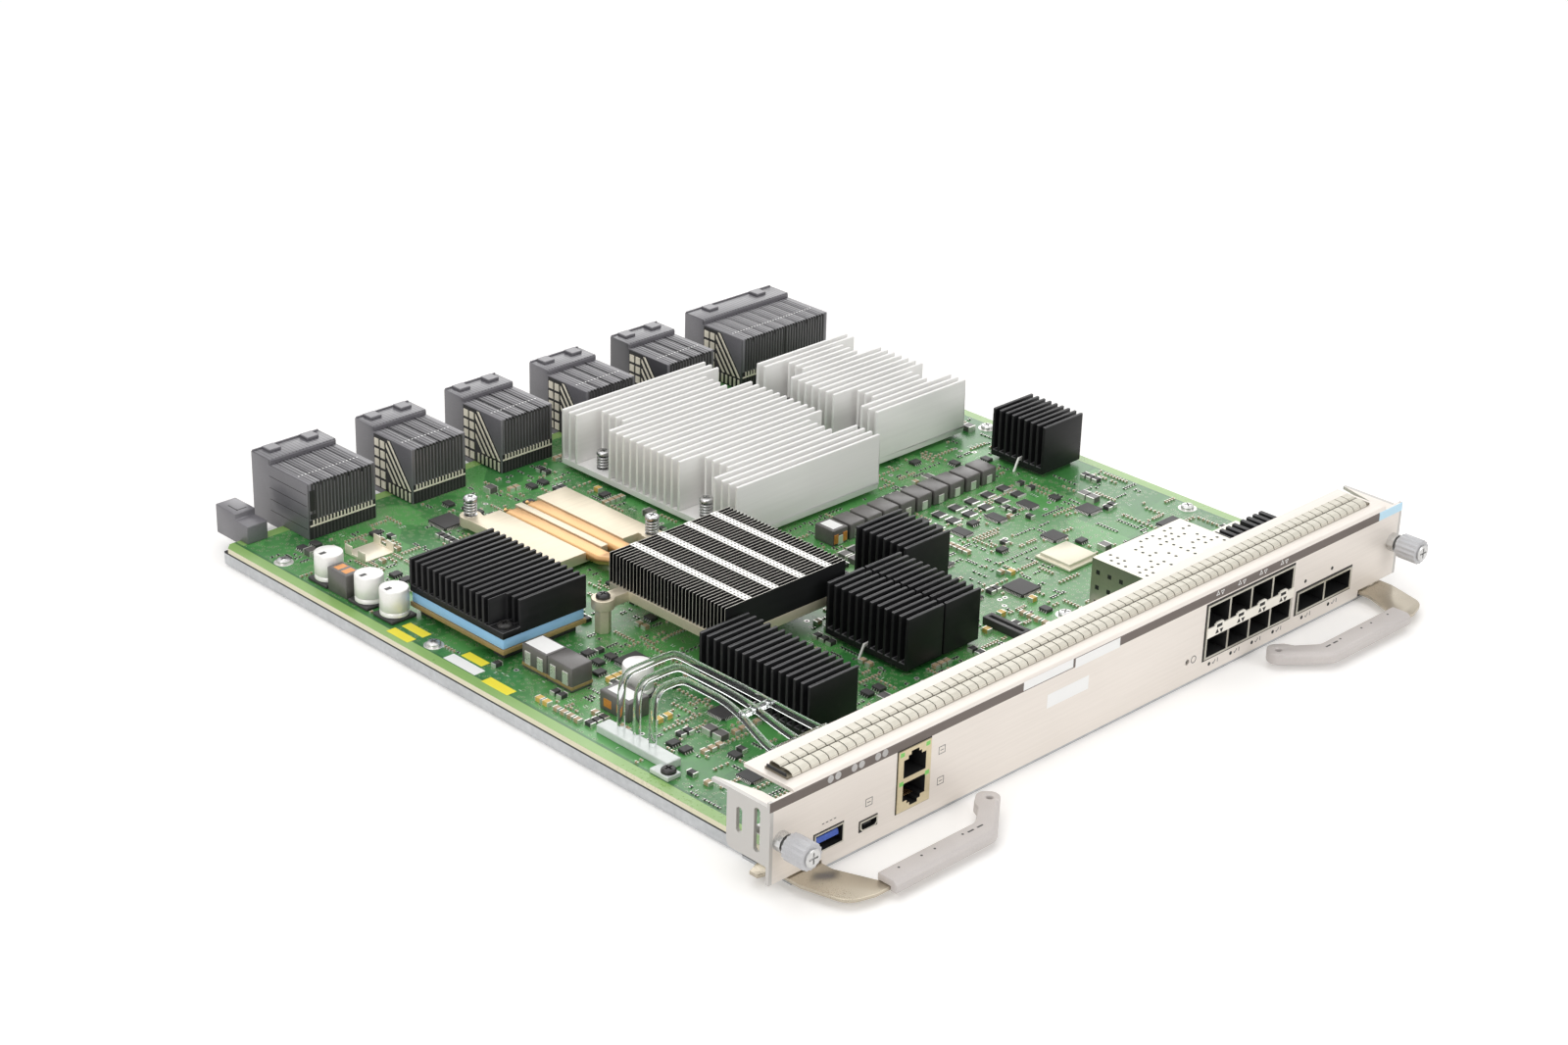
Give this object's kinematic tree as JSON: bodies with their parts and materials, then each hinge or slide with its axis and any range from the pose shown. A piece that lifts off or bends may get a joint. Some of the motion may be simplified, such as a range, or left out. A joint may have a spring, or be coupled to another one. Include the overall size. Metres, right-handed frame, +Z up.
{
  "type": "supervisor module",
  "caption": "Flat chassis supervisor module: circuit board with fin sinks and backplane connectors on a sheet tray, behind a port panel with ejector levers and captive screws.",
  "frame": {"origin": "centre of the carrier tray's underside", "axes": "+Z up from the tray, +X to the right along the panel, +Y from the panel to the connectors"},
  "size_m": [0.384, 0.4051, 0.043],
  "materials": {
    "zinc_sheet": "zinc plated sheet",
    "panel_metal": "pale satin sheet",
    "board_green": "solder mask",
    "insulator_black": "matte sheet",
    "fastener_steel": "bright plated",
    "fastener_black": "black oxide",
    "gasket_metal": "bright sprung strip",
    "grip_grey": "satin moulding",
    "arm_steel": "plated plate",
    "knob_grey": "ribbed moulding",
    "black_anodised": "black anodised",
    "silver_anodised": "satin anodised",
    "copper": "bare copper",
    "plate_metal": "machined",
    "connector_plastic": "moulded",
    "clear_plastic": "clear moulding",
    "pad_blue": "soft pad",
    "cage_nickel": "plated sheet",
    "usb_blue": "moulded",
    "chip_black": "moulded package",
    "can_white": "bright can",
    "coil_grey": "pressed powder",
    "riser_green": "board edge",
    "clip_cream": "folded spring sheet",
    "spring_steel": "wire",
    "button_black": "moulded"
  },
  "bodies": {
    "chassis": {"backplane_connectors": "connector_plastic", "black_screws": "fastener_black", "board_chips": "chip_black", "board_screws": "fastener_steel", "capacitors": "can_white", "captive_ferrules": "fastener_steel", "carrier_tray": "zinc_sheet", "centre_sink": "black_anodised", "clip_holder": "clip_cream", "cold_plate": "plate_metal", "cooler_base": "plate_metal", "emi_gasket": "gasket_metal", "fabric_sink": "silver_anodised", "faceplate": "panel_metal", "fin_stack": "black_anodised", "fin_ties": "fastener_steel", "front_sink": "black_anodised", "heat_pipes": "copper", "inductors": "coil_grey", "insulator_sheet": "insulator_black", "lever_pins": "fastener_steel", "lidded_chip": "silver_anodised", "light_pipe": "clear_plastic", "main_board": "board_green", "mezzanine_sockets": "chip_black", "mini_usb": "cage_nickel", "network_jack": "cage_nickel", "power_block": "connector_plastic", "power_modules": "coil_grey", "qsfp_cage": "cage_nickel", "qsfp_pin_sinks": "black_anodised", "rear_sink": "black_anodised", "reset_switch": "chip_black", "riser_board": "riser_green", "riser_pad": "pad_blue", "riser_sink": "black_anodised", "sfp_cage": "cage_nickel", "sfp_latch_strip": "fastener_steel", "sink_chips": "chip_black", "sink_wire_clips": "spring_steel", "spring_screws": "spring_steel", "switch_sink": "silver_anodised", "twin_sink": "black_anodised", "usb_shell": "cage_nickel", "usb_tongue": "usb_blue"},
    "left_lever": {"left_lever_arm": "arm_steel", "left_lever_grip": "grip_grey"},
    "right_lever": {"right_lever_arm": "arm_steel", "right_lever_grip": "grip_grey"},
    "left_screw_slide": {"left_retaining_washer": "fastener_steel", "left_knob_spring": "spring_steel"},
    "left_screw_turn": {"left_knob": "knob_grey", "left_captive_screw": "fastener_steel"},
    "right_screw_slide": {"right_retaining_washer": "fastener_steel", "right_knob_spring": "spring_steel"},
    "right_screw_turn": {"right_knob": "knob_grey", "right_captive_screw": "fastener_steel"},
    "reset_plunger": {"reset_button": "button_black"}
  },
  "joints": [
    {"name": "left_lever_hinge", "type": "hinge", "parent": "chassis", "child": "left_lever", "pos_m": [-0.175, -0.16775, 0.00415], "axis": [0, 0, 1], "range_deg": [-60, 0]},
    {"name": "left_screw_push", "type": "slide", "parent": "chassis", "child": "left_screw_slide", "axis": [0, 1, 0], "range_m": [0, 0.004], "stiffness_N_per_m": 400, "springref_m": -0.004, "deforming": ["left_knob_spring"]},
    {"name": "left_screw_spin", "type": "hinge", "parent": "left_screw_slide", "child": "left_screw_turn", "pos_m": [-0.1865, -0.18, 0.0225], "axis": [0, 1, 0], "continuous": true},
    {"name": "right_lever_hinge", "type": "hinge", "parent": "chassis", "child": "right_lever", "pos_m": [0.175, -0.16775, 0.00415], "axis": [0, 0, 1], "range_deg": [0, 60]},
    {"name": "right_screw_push", "type": "slide", "parent": "chassis", "child": "right_screw_slide", "axis": [0, 1, 0], "range_m": [0, 0.004], "stiffness_N_per_m": 400, "springref_m": -0.004, "deforming": ["right_knob_spring"]},
    {"name": "right_screw_spin", "type": "hinge", "parent": "right_screw_slide", "child": "right_screw_turn", "pos_m": [0.1865, -0.18, 0.0225], "axis": [0, 1, 0], "continuous": true},
    {"name": "reset_press", "type": "slide", "parent": "chassis", "child": "reset_plunger", "axis": [0, 1, 0], "range_m": [0, 0.001], "stiffness_N_per_m": 300}
  ]
}
